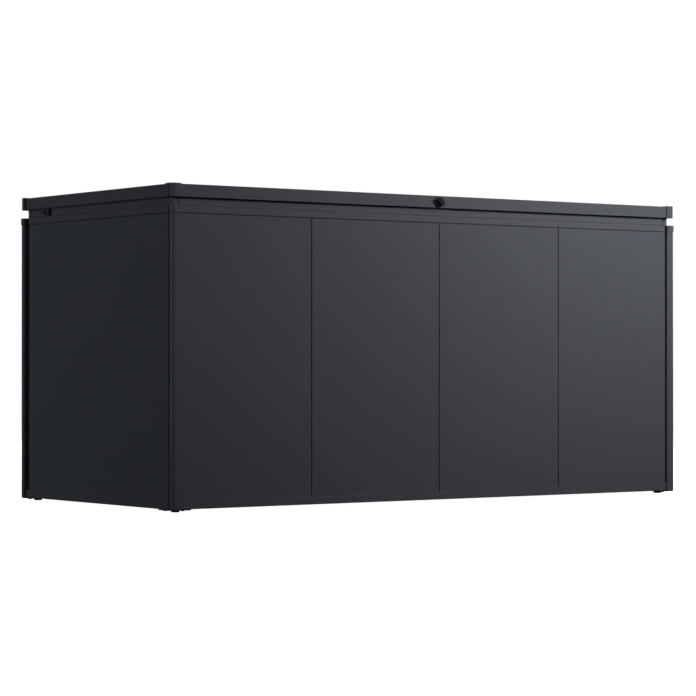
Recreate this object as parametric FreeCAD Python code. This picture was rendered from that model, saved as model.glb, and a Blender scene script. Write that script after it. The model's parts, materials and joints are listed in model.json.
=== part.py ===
import FreeCAD, Part
import math
import os

os.makedirs("parts", exist_ok=True)

V = FreeCAD.Vector
ORIGIN = V(0, 0, 0)
X_AXIS = V(1, 0, 0)
Y_AXIS = V(0, 1, 0)
Z_AXIS = V(0, 0, 1)

# Overall size in millimetres, over the corner posts and from the floor to the lid's top sheet
LENGTH = 1856.0
DEPTH = 846.0
FOOT_HEIGHT = 8.5
BODY_HEIGHT = 827.0
LID_GAP = 24.0
LID_HEIGHT = 35.0

# Sheet metal
SHEET = 1.5
PANEL_SHEET = 1.2
INNER_BEND = 0.6

# How far each layer stands in from the outer face of the posts
FRAME_INSET = 4.0
BAND_INSET = 8.0
PANEL_INSET = 9.0
COLLAR_INSET = 18.5

# Corner posts, which are hollow profiles, and their caps
POST_FRONT_LEG = 35.0
POST_SIDE_LEG = 28.0
POST_RADIUS = 16.0
POST_EDGE_RADIUS = 1.6
POST_INNER_RADIUS = 8.0
POST_WALL = 2.0
CAP_PROUD = 2.0
CAP_EDGE = 0.8
CAP_PLUG_LENGTH = 20.0
CAP_PLUG_CLEARANCE = 0.2

# Rails under and over the wall panels
RAIL_HEIGHT = 22.0
RAIL_REACH = 44.0
BAND_HEIGHT = 19.5
BAND_REACH = 40.0

# Wall panels, which are shallow trays
WIDE_PANELS = 4
PANEL_DEPTH = 16.0
PANEL_BEND = 1.5
PANEL_TUCK = 17.0
CORNER_GAP = 0.5
SEAM_GAP = 2.4
SEAM_STRIP_SETBACK = 5.0
SEAM_BOLT_ROWS = 3
SEAM_BOLT_RADIUS = 2.5
SEAM_BOLT_HEAD_RADIUS = 4.5
SEAM_BOLT_HEAD = 3.0
SEAM_BOLT_END_DISTANCE = 90.0
BOLT_CLEARANCE = 0.1

# Floor
FLOOR_SHEET = 1.5
FLOOR_CLEARANCE = 0.5
BEAM_WIDTH = 60.0
BEAM_HEIGHT = 18.0

# Collar that stands up inside the lid, and the seal on it
COLLAR_HEIGHT = 30.5
COLLAR_RADIUS = 2.0
COLLAR_CORNER_LEG = 17.5
COLLAR_JOINT = 2.5
COLLAR_FOOT = 13.0
COLLAR_LIP = 12.0
COLLAR_EDGE_RADIUS = 1.0
SEAL_SETBACK = 2.0
SEAL_WIDTH = 8.0
SEAL_HEIGHT = 3.0
SEAT_GAP = 0.3

# Lid, and the pieces that cover its corners
LID_RADIUS = 13.0
LID_TOP_RADIUS = 2.5
LID_CORNER_INSET = 0.5
LID_CORNER_RISE = 1.8
LID_CORNER_EDGE = 1.2
LID_CORNER_INNER_RADIUS = 12.0
LID_HEM = 8.0
LID_FRAME_INSET = 20.0
LID_FRAME_WIDTH = 30.0
LID_RIB_WIDTH = 40.0
LID_RIB_HEIGHT = 20.0

# Lid hinges
HINGE_END_DISTANCE = 325.0
HINGE_AXIS_INSET = 10.0
HINGE_AXIS_RISE = 9.5
KNUCKLE_RADIUS = 5.5
KNUCKLE_LENGTH = 20.0
LID_KNUCKLE_LENGTH = 30.0
KNUCKLE_GAP = 0.3
PIN_RADIUS = 3.0
PIN_HEAD_RADIUS = 4.5
PIN_HEAD = 1.5
RUNNING_CLEARANCE = 0.05
HINGE_LEAF = 2.0
HINGE_WEB = 4.0
LEAF_WIDTH = 70.0
LEAF_NECK_TOP = 18.0
LEAF_TOP = 40.0
HEM_NOTCH_CLEARANCE = 1.0

# Gas struts: both ends lie on one circle round the lid's hinge axis
STRUT_CIRCLE = 220.0
STRUT_SPREAD = 72.0
STRUT_LIFT = 2.5
STRUT_INSET = 64.0
TUBE_RADIUS = 9.0
TUBE_WALL = 1.0
TUBE_START = 22.0
TUBE_END = 214.0
TUBE_FLOOR = 3.0
TUBE_GUIDE = 8.0
ROD_RADIUS = 4.0
PISTON_START = 27.0
PISTON_LENGTH = 8.0
EYE_RADIUS = 8.5
EYE_WIDTH = 10.0
EYE_END_GAP = 0.2
SHANK_RADIUS = 4.5
STRUT_PIN_RADIUS = 4.0
STRUT_PIN_COLLAR_RADIUS = 6.0
STRUT_PIN_HEAD = 1.5

# Gusset plates that hold the struts, and the stay plates outside the collar
GUSSET_INSET = 44.0
GUSSET_SHEET = 3.0
GUSSET_TOP_DROP = 8.0
GUSSET_TOP_LENGTH = 64.0
GUSSET_BELOW_ANCHOR = 39.0
GUSSET_AHEAD_OF_ANCHOR = 34.0
GUSSET_FLANGE_TOP = 200.0
GUSSET_FLANGE_START = 11.0
GUSSET_RADIUS = 6.0
STAY_REAR_DISTANCE = 91.5
STAY_LENGTH = 59.5
STAY_HEIGHT = 20.0
STAY_SHEET = 3.0
STAY_LIP = 3.5
STAY_LIP_SHEET = 2.0
STAY_PIN_DISTANCE = 129.0
STAY_PIN_RADIUS = 4.0
STAY_PIN_HEAD_RADIUS = 6.5
STAY_PIN_HEAD = 4.0
STAY_WASHER_RADIUS = 9.2
STAY_WASHER = 1.5
STAY_BOLT_DISTANCES = (97.0, 111.0)
STAY_BOLT_RADIUS = 2.5
STAY_BOLT_HEAD_RADIUS = 4.0
STAY_BOLT_HEAD = 2.0
SPACER_WALL = 3.0
ANCHOR_RADIUS = 4.0
ANCHOR_HEAD_RADIUS = 6.5
ANCHOR_HEAD = 4.5
LID_BRACKET_SHEET = 3.0
LID_BRACKET_WIDTH = 28.0
LID_BRACKET_DROP = 12.0

# Lock in the lid's front face, a little left of the middle
LOCK_X = -6.0
LOCK_RISE = 17.0
KNOB_RADIUS = 14.0
KNOB_LENGTH = 11.5
KNOB_EDGE = 1.5
KNOB_GRIP_DEPTH = 7.0
KNOB_GRIP_WIDTH = 14.0
KNOB_GRIP_LEAN = 45.0
LOCK_BEZEL_RADIUS = 15.5
LOCK_BEZEL = 2.0
LOCK_BARREL_RADIUS = 9.0
LOCK_BARREL_REACH = 7.0
LOCK_SHAFT_RADIUS = 6.0
LOCK_NUT_RADIUS = 12.0
LOCK_NUT = 3.5
LOCK_END_GAP = 0.3
CAM_SHEET = 2.5
CAM_HUB_RADIUS = 8.0
CAM_ARM_WIDTH = 6.4
CAM_REACH = 28.0
CAM_HOOK_WIDTH = 7.0
CAM_HOOK_LENGTH = 14.0
CAM_SCREW_RADIUS = 4.5
CAM_SCREW_HEAD = 2.5
KEY_PLUG_RADIUS = 5.0
KEY_PLUG_LENGTH = 9.0
KEY_PLUG_PROUD = 0.4
KEYWAY_WIDTH = 1.2
KEYWAY_HEIGHT = 6.0
KEYWAY_DEPTH = 6.0

# Keeper on the collar's front face, under which the lock's hook turns
KEEPER_SHEET = 2.0
KEEPER_TAB_DROP = 15.0
KEEPER_TAB_NEAR = 5.0
KEEPER_TAB_FAR = 20.0
KEEPER_SIDE = 6.0
KEEPER_PLATE_HEIGHT = 10.0
KEEPER_TAB_REACH = 3.5

# Feet, corner plates and their fasteners
FOOT_INSET = 40.0
FOOT_RADIUS = 11.5
FOOT_EDGE = 1.2
FOOT_STUD_RADIUS = 4.0
FOOT_STUD_TOP = 15.5
CORNER_PLATE_SIZE = 66.0
CORNER_PLATE_INSET = 1.5
CORNER_PLATE_SHEET = 2.5
CORNER_PLATE_RADIUS = 14.5
CORNER_PLATE_INNER_RADIUS = 8.0
NUT_SIDES = 6
NUT_ACROSS_FLATS = 13.0
NUT_HEIGHT = 6.5
NUT_WELL_RADIUS = 9.0
PLATE_SCREW_NEAR = 10.6
PLATE_SCREW_FAR = 45.2
PLATE_SCREW_RADIUS = 2.4
PLATE_SCREW_HEAD_RADIUS = 4.3
PLATE_SCREW_HEAD = 2.2
PLATE_SCREW_REACH = 6.0

# Levels and half sizes that follow from the sizes above
HALF_LENGTH = LENGTH / 2
HALF_DEPTH = DEPTH / 2
Z_BODY = FOOT_HEIGHT
Z_PANEL = Z_BODY + RAIL_HEIGHT
Z_BAND = Z_BODY + BODY_HEIGHT - BAND_HEIGHT
Z_COLLAR = Z_BODY + BODY_HEIGHT
Z_COLLAR_TOP = Z_COLLAR + COLLAR_HEIGHT
Z_SEAL_TOP = Z_COLLAR_TOP + SEAL_HEIGHT
Z_LID = Z_COLLAR + LID_GAP
Z_TOP = Z_LID + LID_HEIGHT
Z_LID_INSIDE = Z_TOP - SHEET
Z_LID_FRAME = Z_SEAL_TOP + SEAT_GAP
PANEL_PITCH = (LENGTH - 2 * PANEL_TUCK) / WIDE_PANELS
MITRE_WIDTH = 2 * max(RAIL_REACH, BAND_REACH, LID_FRAME_INSET + LID_FRAME_WIDTH)

# The hinge axis, the two ends of a strut and the lock's axis
HINGE_Y = HALF_DEPTH - HINGE_AXIS_INSET
HINGE_Z = Z_COLLAR + HINGE_AXIS_RISE
LOCK_Y = -HALF_DEPTH + FRAME_INSET
LOCK_Z = Z_LID + LOCK_RISE

# The knob stands further out than the caps at the rear, and the origin is the middle of both
KNOB_FACE = LOCK_Y - LOCK_BEZEL - LOCK_END_GAP - KNOB_LENGTH - KEY_PLUG_PROUD
CENTRE_SHIFT = -(KNOB_FACE + HALF_DEPTH + CAP_PROUD) / 2


def block(x0, x1, y0, y1, z0, z1):
    return Part.makeBox(x1 - x0, y1 - y0, z1 - z0, V(x0, y0, z0))


def cylinder(start, direction, radius, length):
    return Part.makeCylinder(radius, length, start, direction)


def rounded_wire(points, radii):
    """A closed outline through points, with each corner rounded by its own radius."""
    corners = []
    for i, radius in enumerate(radii):
        corner = points[i]
        back = (points[i - 1] - corner).normalize()
        ahead = (points[(i + 1) % len(points)] - corner).normalize()
        half = back.getAngle(ahead) / 2
        reach = radius / math.tan(half)
        middle = corner + (back + ahead).normalize() * (radius / math.sin(half) - radius)
        corners.append((corner + back * reach, middle, corner + ahead * reach))
    edges = []
    for i, (start, middle, end) in enumerate(corners):
        if radii[i] > 0:
            edges.append(Part.Arc(start, middle, end).toShape())
        following = corners[(i + 1) % len(corners)][0]
        if (following - end).Length > 1e-6:
            edges.append(Part.LineSegment(end, following).toShape())
    return Part.Wire(edges)


def solid_from(points, radii, sweep):
    return Part.Face(rounded_wire(points, radii)).extrude(sweep)


def edges_at(shape, direction, level):
    """The edges of shape that lie in one plane square to direction."""
    return [e for e in shape.Edges if all(abs(v.Point.dot(direction) - level) < 1e-6 for v in e.Vertexes)]


def mirrored(shape, across_x=False, across_y=False):
    if across_x:
        shape = shape.mirror(ORIGIN, X_AXIS)
    if across_y:
        shape = shape.mirror(ORIGIN, Y_AXIS)
    return shape


def four_corners(shape):
    """Copies of a front left piece for all four corners."""
    return [mirrored(shape, x, y) for y in (False, True) for x in (False, True)]


def to_left(shape):
    """Turns a front piece, made for the box's length as its depth, to the left side."""
    return shape.copy().rotate(ORIGIN, Z_AXIS, -90)


def four_sides(make):
    """make(half_across, half_along) gives a front piece; this gives one for each side."""
    front = make(HALF_DEPTH, HALF_LENGTH)
    left = to_left(make(HALF_LENGTH, HALF_DEPTH))
    return {
        "front": front,
        "rear": mirrored(front, across_y=True),
        "left": left,
        "right": mirrored(left, across_x=True),
    }


def frame_prism(inset, radius, z0, z1):
    """A prism over the whole plan of the box, inset from the posts, with round corners."""
    x = HALF_LENGTH - inset
    y = HALF_DEPTH - inset
    points = [V(-x, -y, z0), V(x, -y, z0), V(x, y, z0), V(-x, y, z0)]
    return solid_from(points, [radius] * len(points), V(0, 0, z1 - z0))


def mitre_wedge(half_across, half_along):
    """The part of the plan that belongs to the front side, cut at 45 degrees at both corners."""
    inner_x = half_along - MITRE_WIDTH
    inner_y = -half_across + MITRE_WIDTH
    points = [V(-half_along, -half_across, 0), V(half_along, -half_across, 0),
              V(inner_x, inner_y, 0), V(-inner_x, inner_y, 0)]
    return solid_from(points, [0] * len(points), V(0, 0, Z_TOP))


def channel(half_across, half_along, outer, reach, z0, z1):
    """A folded channel along the front, open towards the inside."""
    inner = outer + SHEET
    outline = [(reach, z0), (outer, z0), (outer, z1), (reach, z1),
               (reach, z1 - SHEET), (inner, z1 - SHEET), (inner, z0 + SHEET), (reach, z0 + SHEET)]
    bend = INNER_BEND + SHEET
    radii = [0, bend, bend, 0, 0, INNER_BEND, INNER_BEND, 0]
    points = [V(-half_along, -half_across + d, z) for d, z in outline]
    return solid_from(points, radii, V(2 * half_along, 0, 0))


def rails(inset, reach, z0, z1):
    """Four rails whose webs end at the posts and whose flanges meet at mitres."""
    def make(half_across, half_along):
        profile = channel(half_across, half_along, inset, reach, z0, z1)
        return profile.common(mitre_wedge(half_across, half_along))

    posts = four_corners(post_outline(CAP_PROUD, 0, [0, 0, 0, POST_INNER_RADIUS, 0, 0], z0, z1))
    return {side: shape.cut(posts) for side, shape in four_sides(make).items()}


def corner_point(dx, dy, z):
    """A point at given distances from the two outer faces of the front left post."""
    return V(-HALF_LENGTH + dx, -HALF_DEPTH + dy, z)


def screw_points(z):
    """The two screw positions of a front left corner plate, at height z."""
    return [corner_point(PLATE_SCREW_FAR, PLATE_SCREW_NEAR, z),
            corner_point(PLATE_SCREW_NEAR, PLATE_SCREW_FAR, z)]


def bottom_rails():
    """Four rails with holes for the corner screws and wells round the foot nuts."""
    well = cylinder(corner_point(FOOT_INSET, FOOT_INSET, Z_BODY), Z_AXIS, NUT_WELL_RADIUS, SHEET)
    holes = [cylinder(p, Z_AXIS, PLATE_SCREW_RADIUS + BOLT_CLEARANCE, SHEET)
             for p in screw_points(Z_BODY)]
    cuts = [copy for hole in [well] + holes for copy in four_corners(hole)]
    plain = rails(FRAME_INSET, RAIL_REACH, Z_BODY, Z_PANEL)
    return {side: shape.cut(cuts) for side, shape in plain.items()}


def post_radii():
    return [POST_RADIUS, POST_EDGE_RADIUS, 0, POST_INNER_RADIUS, 0, POST_EDGE_RADIUS]


def cap_radii():
    """The corner radii of a cap's outline, which are a post's with a larger outer corner."""
    return [POST_RADIUS + CAP_PROUD] + post_radii()[1:]


def post_outline(proud, shrink, radii, z0, z1):
    """An L-shaped prism at the front left corner, grown outwards or shrunk all round."""
    low = shrink - proud
    inner = PANEL_INSET - shrink
    front = POST_FRONT_LEG - shrink
    side = POST_SIDE_LEG - shrink
    plan = [(low, low), (front, low), (front, inner), (inner, inner), (inner, side), (low, side)]
    points = [corner_point(dx, dy, z0) for dx, dy in plan]
    return solid_from(points, radii, V(0, 0, z1 - z0))


def post_hollow(clearance, z0, z1):
    """The space inside a post's walls, less a clearance."""
    shrink = POST_WALL + clearance
    radii = [POST_RADIUS - shrink, 0, 0, POST_INNER_RADIUS + shrink, 0, 0]
    return post_outline(0, shrink, radii, z0, z1)


def corner_post():
    outer = post_outline(0, 0, post_radii(), Z_BODY, Z_BAND)
    return outer.cut(post_hollow(0, Z_BODY, Z_BAND))


def post_cap():
    """A cap level with the top rails, with a plug that fits the hollow of the post."""
    head = post_outline(CAP_PROUD, 0, cap_radii(), Z_BAND, Z_COLLAR)
    edges = edges_at(head, Z_AXIS, Z_BAND) + edges_at(head, Z_AXIS, Z_COLLAR)
    head = head.makeChamfer(CAP_EDGE, edges)
    return head.fuse(post_hollow(CAP_PLUG_CLEARANCE, Z_BAND - CAP_PLUG_LENGTH, Z_BAND + CAP_EDGE))


def tray(half_across, x0, x1):
    """A wall panel: a face with four folded edges, round at the upright ones, on the front side."""
    y0 = -half_across + PANEL_INSET
    y1 = y0 + PANEL_DEPTH
    plan = [V(x0, y0, Z_PANEL), V(x1, y0, Z_PANEL), V(x1, y1, Z_PANEL), V(x0, y1, Z_PANEL)]
    outer = solid_from(plan, [PANEL_BEND, PANEL_BEND, 0, 0], V(0, 0, Z_BAND - Z_PANEL))
    t = PANEL_SHEET
    return outer.cut(block(x0 + t, x1 - t, y0 + t, y1, Z_PANEL + t, Z_BAND - t))


def seam_positions():
    """The x of each seam between two front panels."""
    return [-HALF_LENGTH + PANEL_TUCK + PANEL_PITCH * n for n in range(1, WIDE_PANELS)]


def seam_bolt_points():
    """Where the bolts cross the seams of the front wall."""
    y = -HALF_DEPTH + PANEL_INSET + PANEL_DEPTH / 2
    low = Z_PANEL + SEAM_BOLT_END_DISTANCE
    step = (Z_BAND - SEAM_BOLT_END_DISTANCE - low) / (SEAM_BOLT_ROWS - 1)
    return [V(x, y, low + step * row) for x in seam_positions() for row in range(SEAM_BOLT_ROWS)]


def seam_reach():
    """Half the width of a seam with the folded edges on both sides of it."""
    return SEAM_GAP / 2 + PANEL_SHEET


def seam_holes():
    reach = seam_reach()
    radius = SEAM_BOLT_RADIUS + BOLT_CLEARANCE
    return [cylinder(p - X_AXIS * reach, X_AXIS, radius, 2 * reach) for p in seam_bolt_points()]


def front_panels():
    """The panels of the front wall, from left to right, with bolt holes in their folded edges."""
    half = SEAM_GAP / 2
    edges = [-HALF_LENGTH + PANEL_TUCK - half] + seam_positions() + [HALF_LENGTH - PANEL_TUCK + half]
    holes = seam_holes()
    return [tray(HALF_DEPTH, x0 + half, x1 - half).cut(holes) for x0, x1 in zip(edges, edges[1:])]


def seam_strips():
    """Rubber strips set back in the seams of the front wall, between the folded edges."""
    y0 = -HALF_DEPTH + PANEL_INSET + SEAM_STRIP_SETBACK
    y1 = -HALF_DEPTH + PANEL_INSET + PANEL_DEPTH
    half = SEAM_GAP / 2
    holes = seam_holes()
    return [block(x - half, x + half, y0, y1, Z_PANEL, Z_BAND).cut(holes) for x in seam_positions()]


def left_panel():
    half = HALF_DEPTH - PANEL_INSET - PANEL_DEPTH - CORNER_GAP
    return to_left(tray(HALF_LENGTH, -half, half))


def seam_bolts():
    """Bolts that draw the folded edges of neighbouring front panels together."""
    reach = seam_reach()
    bolts = []
    for p in seam_bolt_points():
        shaft = cylinder(p - X_AXIS * reach, X_AXIS, SEAM_BOLT_RADIUS, 2 * reach)
        heads = [cylinder(p + way * reach, way, SEAM_BOLT_HEAD_RADIUS, SEAM_BOLT_HEAD)
                 for way in (X_AXIS, -X_AXIS)]
        bolts.append(shaft.fuse(heads))
    return bolts


def floor_panel():
    inset = PANEL_INSET + PANEL_DEPTH + FLOOR_CLEARANCE
    return frame_prism(inset, COLLAR_EDGE_RADIUS, Z_PANEL, Z_PANEL + FLOOR_SHEET)


def floor_beams():
    """Channels under the floor, one below each seam, between the rails' flanges."""
    y = HALF_DEPTH - RAIL_REACH
    half = BEAM_WIDTH / 2
    beam = block(-half, half, -y, y, Z_PANEL - BEAM_HEIGHT, Z_PANEL)
    inside = half - SHEET
    beam = beam.cut(block(-inside, inside, -y, y, Z_PANEL - BEAM_HEIGHT, Z_PANEL - SHEET))
    middle = (WIDE_PANELS - 2) / 2
    return [beam.translated(V((n - middle) * PANEL_PITCH, 0, 0)) for n in range(WIDE_PANELS - 1)]


def collar_ring():
    """The whole collar as one ring: a foot, a wall and a lip that carries the seal."""
    z0 = Z_COLLAR
    z1 = Z_COLLAR_TOP
    outer = frame_prism(COLLAR_INSET, COLLAR_RADIUS, z0, z1)
    inside = frame_prism(COLLAR_INSET + SHEET, COLLAR_RADIUS - SHEET, z0 + SHEET, z1 - SHEET)
    foot = frame_prism(COLLAR_INSET + COLLAR_FOOT, COLLAR_EDGE_RADIUS, z0, z0 + SHEET)
    mouth = frame_prism(COLLAR_INSET + COLLAR_LIP, COLLAR_EDGE_RADIUS, z1 - SHEET, z1)
    return outer.cut([inside, foot, mouth])


def collar_pieces():
    """The collar's four straight runs and four corner pieces, with a narrow joint between."""
    ring = collar_ring()
    corner = COLLAR_INSET + COLLAR_CORNER_LEG
    x0 = -HALF_LENGTH
    y0 = -HALF_DEPTH
    straight = corner + COLLAR_JOINT
    front = ring.common(block(x0 + straight, -x0 - straight, y0, y0 + corner, Z_COLLAR, Z_COLLAR_TOP))
    left = ring.common(block(x0, x0 + corner, y0 + straight, -y0 - straight, Z_COLLAR, Z_COLLAR_TOP))
    piece = ring.common(block(x0, x0 + corner, y0, y0 + corner, Z_COLLAR, Z_COLLAR_TOP))
    right = mirrored(left, across_x=True).cut([stay_pin_hole()] + stay_bolt_holes())
    runs = {"front": front, "rear": mirrored(front, across_y=True),
            "left": mirrored(right, across_x=True), "right": right}
    return runs, four_corners(piece)


def rim_seal():
    inset = COLLAR_INSET + SEAL_SETBACK
    outer = frame_prism(inset, COLLAR_RADIUS, Z_COLLAR_TOP, Z_SEAL_TOP)
    return outer.cut(frame_prism(inset + SEAL_WIDTH, COLLAR_EDGE_RADIUS, Z_COLLAR_TOP, Z_SEAL_TOP))


def hinge_positions():
    x = HALF_LENGTH - HINGE_END_DISTANCE
    return [-x, 0.0, x]


def knuckle(x0, x1):
    return cylinder(V(x0, HINGE_Y, HINGE_Z), X_AXIS, KNUCKLE_RADIUS, x1 - x0)


def hinge_bore(x0, x1):
    return cylinder(V(x0, HINGE_Y, HINGE_Z), X_AXIS, PIN_RADIUS + RUNNING_CLEARANCE, x1 - x0)


def knuckle_ends():
    """Where the body's knuckles start and end, on the right of the hinge's middle."""
    start = LID_KNUCKLE_LENGTH / 2 + KNUCKLE_GAP
    return start, start + KNUCKLE_LENGTH


def hinge_base_leaf():
    """The leaf on the rear rail: a foot and two knuckles on short webs."""
    start, end = knuckle_ends()
    rear = HALF_DEPTH - BAND_INSET
    front = HALF_DEPTH - COLLAR_INSET + HEM_NOTCH_CLEARANCE
    leaf = block(-end, end, front, rear, Z_COLLAR, Z_COLLAR + HINGE_LEAF)
    half = HINGE_WEB / 2
    for x0, x1 in ((-end, -start), (start, end)):
        web = block(x0, x1, HINGE_Y - half, HINGE_Y + half, Z_COLLAR + HINGE_LEAF, HINGE_Z)
        leaf = leaf.fuse([web, knuckle(x0, x1)])
    return leaf.cut(hinge_bore(-end, end))


def hinge_lid_leaf():
    """The leaf inside the lid's rear face: a plate, a neck through the hem and one knuckle."""
    half = LID_KNUCKLE_LENGTH / 2
    back = HALF_DEPTH - FRAME_INSET - SHEET
    front = back - HINGE_LEAF
    neck = block(-half, half, front, back, HINGE_Z, HINGE_Z + LEAF_NECK_TOP)
    wide = LEAF_WIDTH / 2
    plate = block(-wide, wide, front, back, HINGE_Z + LEAF_NECK_TOP, HINGE_Z + LEAF_TOP)
    return knuckle(-half, half).fuse([neck, plate]).cut(hinge_bore(-half, half))


def hinge_pin():
    end = knuckle_ends()[1]
    shaft = cylinder(V(-end, HINGE_Y, HINGE_Z), X_AXIS, PIN_RADIUS, 2 * end)
    head = cylinder(V(end, HINGE_Y, HINGE_Z), X_AXIS, PIN_HEAD_RADIUS, PIN_HEAD)
    return shaft.fuse([head, mirrored(head, across_x=True)])


def at_hinges(shape):
    return [shape.translated(V(x, 0, 0)) for x in hinge_positions()]


def lid_envelope():
    """The space that the lid's sheet encloses, to its outer faces."""
    outer = frame_prism(FRAME_INSET, LID_RADIUS, Z_LID, Z_TOP)
    return outer.makeFillet(LID_TOP_RADIUS, edges_at(outer, Z_AXIS, Z_TOP))


def lid_skin():
    """The lid's top and skirts in one sheet, with a hem that is cut away at the hinges."""
    inside = frame_prism(FRAME_INSET + SHEET, LID_RADIUS - SHEET, Z_LID + SHEET, Z_LID_INSIDE)
    mouth = frame_prism(FRAME_INSET + LID_HEM, LID_RADIUS - LID_HEM, Z_LID, Z_LID + SHEET)
    half = LID_KNUCKLE_LENGTH / 2 + HEM_NOTCH_CLEARANCE
    back = HALF_DEPTH - FRAME_INSET - SHEET
    notch = block(-half, half, back - LID_HEM, back, Z_LID, Z_LID + SHEET)
    lock_hole = cylinder(lock_point(0), Y_AXIS, LOCK_BARREL_RADIUS, SHEET)
    return lid_envelope().cut([inside, mouth, lock_hole] + at_hinges(notch))


def lid_corner():
    """The piece over the lid's front left corner, as long along each side as the post below it."""
    near = LID_CORNER_INSET
    top = Z_TOP + LID_CORNER_RISE
    plan = [(near, near), (POST_FRONT_LEG, near), (POST_FRONT_LEG, POST_SIDE_LEG), (near, POST_SIDE_LEG)]
    points = [corner_point(dx, dy, Z_LID) for dx, dy in plan]
    radii = [LID_RADIUS + FRAME_INSET - near, 0, LID_CORNER_INNER_RADIUS, 0]
    piece = solid_from(points, radii, V(0, 0, top - Z_LID))
    piece = piece.makeFillet(LID_CORNER_EDGE, edges_at(piece, Z_AXIS, top))
    return piece.cut(lid_envelope())


def lid_frames():
    """Channels round the inside of the lid, open upwards under its top, that rest on the seal."""
    near = LID_FRAME_INSET
    far = LID_FRAME_INSET + LID_FRAME_WIDTH
    z0 = Z_LID_FRAME
    z1 = Z_LID_INSIDE
    outline = [(near, z0), (far, z0), (far, z1), (far - SHEET, z1),
               (far - SHEET, z0 + SHEET), (near + SHEET, z0 + SHEET), (near + SHEET, z1), (near, z1)]
    bend = INNER_BEND + SHEET
    radii = [bend, bend, 0, 0, INNER_BEND, INNER_BEND, 0, 0]

    def make(half_across, half_along):
        points = [V(-half_along, -half_across + d, z) for d, z in outline]
        return solid_from(points, radii, V(2 * half_along, 0, 0)).common(mitre_wedge(half_across, half_along))

    return four_sides(make)


def lid_ribs():
    """Channels across the lid, one above each seam, from the front frame to the rear frame."""
    y = HALF_DEPTH - LID_FRAME_INSET - LID_FRAME_WIDTH
    half = LID_RIB_WIDTH / 2
    z0 = Z_LID_INSIDE - LID_RIB_HEIGHT
    rib = block(-half, half, -y, y, z0, Z_LID_INSIDE)
    inside = half - SHEET
    rib = rib.cut(block(-inside, inside, -y, y, z0 + SHEET, Z_LID_INSIDE))
    middle = (WIDE_PANELS - 2) / 2
    return [rib.translated(V((n - middle) * PANEL_PITCH, 0, 0)) for n in range(WIDE_PANELS - 1)]


def strut_end(degrees_up):
    """A point of the right strut's plane on the circle round the hinge axis, ahead of the axis."""
    angle = math.radians(degrees_up)
    return V(HALF_LENGTH - STRUT_INSET,
             HINGE_Y - STRUT_CIRCLE * math.cos(angle),
             HINGE_Z + STRUT_CIRCLE * math.sin(angle))


ANCHOR = strut_end(STRUT_LIFT - STRUT_SPREAD)
LID_STUD = strut_end(STRUT_LIFT)
STRUT_LINE = (LID_STUD - ANCHOR).normalize()
STRUT_LENGTH = (LID_STUD - ANCHOR).Length


def eye(centre, direction):
    """An eye round a strut's pin, with a shank along direction."""
    start = centre - X_AXIS * (EYE_WIDTH / 2)
    ring = cylinder(start, X_AXIS, EYE_RADIUS, EYE_WIDTH)
    shank = cylinder(centre, direction, SHANK_RADIUS, TUBE_START)
    return ring.fuse(shank).cut(cylinder(start, X_AXIS, STRUT_PIN_RADIUS + RUNNING_CLEARANCE, EYE_WIDTH))


def strut_cylinder():
    """The right strut's tube with its closed end and rod guide, and its lower eye."""
    tube = cylinder(ANCHOR + STRUT_LINE * TUBE_START, STRUT_LINE, TUBE_RADIUS, TUBE_END - TUBE_START)
    space_start = TUBE_START + TUBE_FLOOR
    space = cylinder(ANCHOR + STRUT_LINE * space_start, STRUT_LINE, TUBE_RADIUS - TUBE_WALL,
                     TUBE_END - TUBE_GUIDE - space_start)
    guide = cylinder(ANCHOR + STRUT_LINE * (TUBE_END - TUBE_GUIDE), STRUT_LINE,
                     ROD_RADIUS + RUNNING_CLEARANCE, TUBE_GUIDE)
    return [tube.cut([space, guide]), eye(ANCHOR, STRUT_LINE)]


def strut_rod():
    """The right strut's piston rod with its piston, and its upper eye."""
    end = STRUT_LENGTH - TUBE_START
    shaft = cylinder(ANCHOR + STRUT_LINE * PISTON_START, STRUT_LINE, ROD_RADIUS, end - PISTON_START)
    piston_radius = TUBE_RADIUS - TUBE_WALL - RUNNING_CLEARANCE
    piston = cylinder(ANCHOR + STRUT_LINE * PISTON_START, STRUT_LINE, piston_radius, PISTON_LENGTH)
    return [shaft.fuse(piston), eye(LID_STUD, -STRUT_LINE)]


def strut_pin(centre, plate_x):
    """A pin with a head, through the eye at centre, and its collar up to a plate's face at plate_x."""
    reach = EYE_WIDTH / 2 + EYE_END_GAP
    inner = centre - X_AXIS * reach
    pin = cylinder(inner, X_AXIS, STRUT_PIN_RADIUS, 2 * reach)
    head = cylinder(inner, -X_AXIS, STRUT_PIN_COLLAR_RADIUS, STRUT_PIN_HEAD)
    outer = centre + X_AXIS * reach
    return pin.fuse([head, cylinder(outer, X_AXIS, STRUT_PIN_COLLAR_RADIUS, plate_x - outer.x)])


def stay_point(rear_distance):
    """A point on the outer face of the right stay plate, at half the height of the gap."""
    return V(HALF_LENGTH - COLLAR_INSET + STAY_SHEET, HALF_DEPTH - rear_distance, Z_COLLAR + LID_GAP / 2)


def stay_pin_hole():
    """The hole for the stay's pin through the plate, the collar and the gusset."""
    reach = STAY_SHEET - COLLAR_INSET + GUSSET_INSET + GUSSET_SHEET
    return cylinder(stay_point(STAY_PIN_DISTANCE), -X_AXIS, STAY_PIN_RADIUS + BOLT_CLEARANCE, reach)


def stay_bolt_holes():
    """Holes for the stay's small bolts through the plate and the collar."""
    radius = STAY_BOLT_RADIUS + BOLT_CLEARANCE
    return [cylinder(stay_point(d), -X_AXIS, radius, STAY_SHEET + SHEET) for d in STAY_BOLT_DISTANCES]


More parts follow.
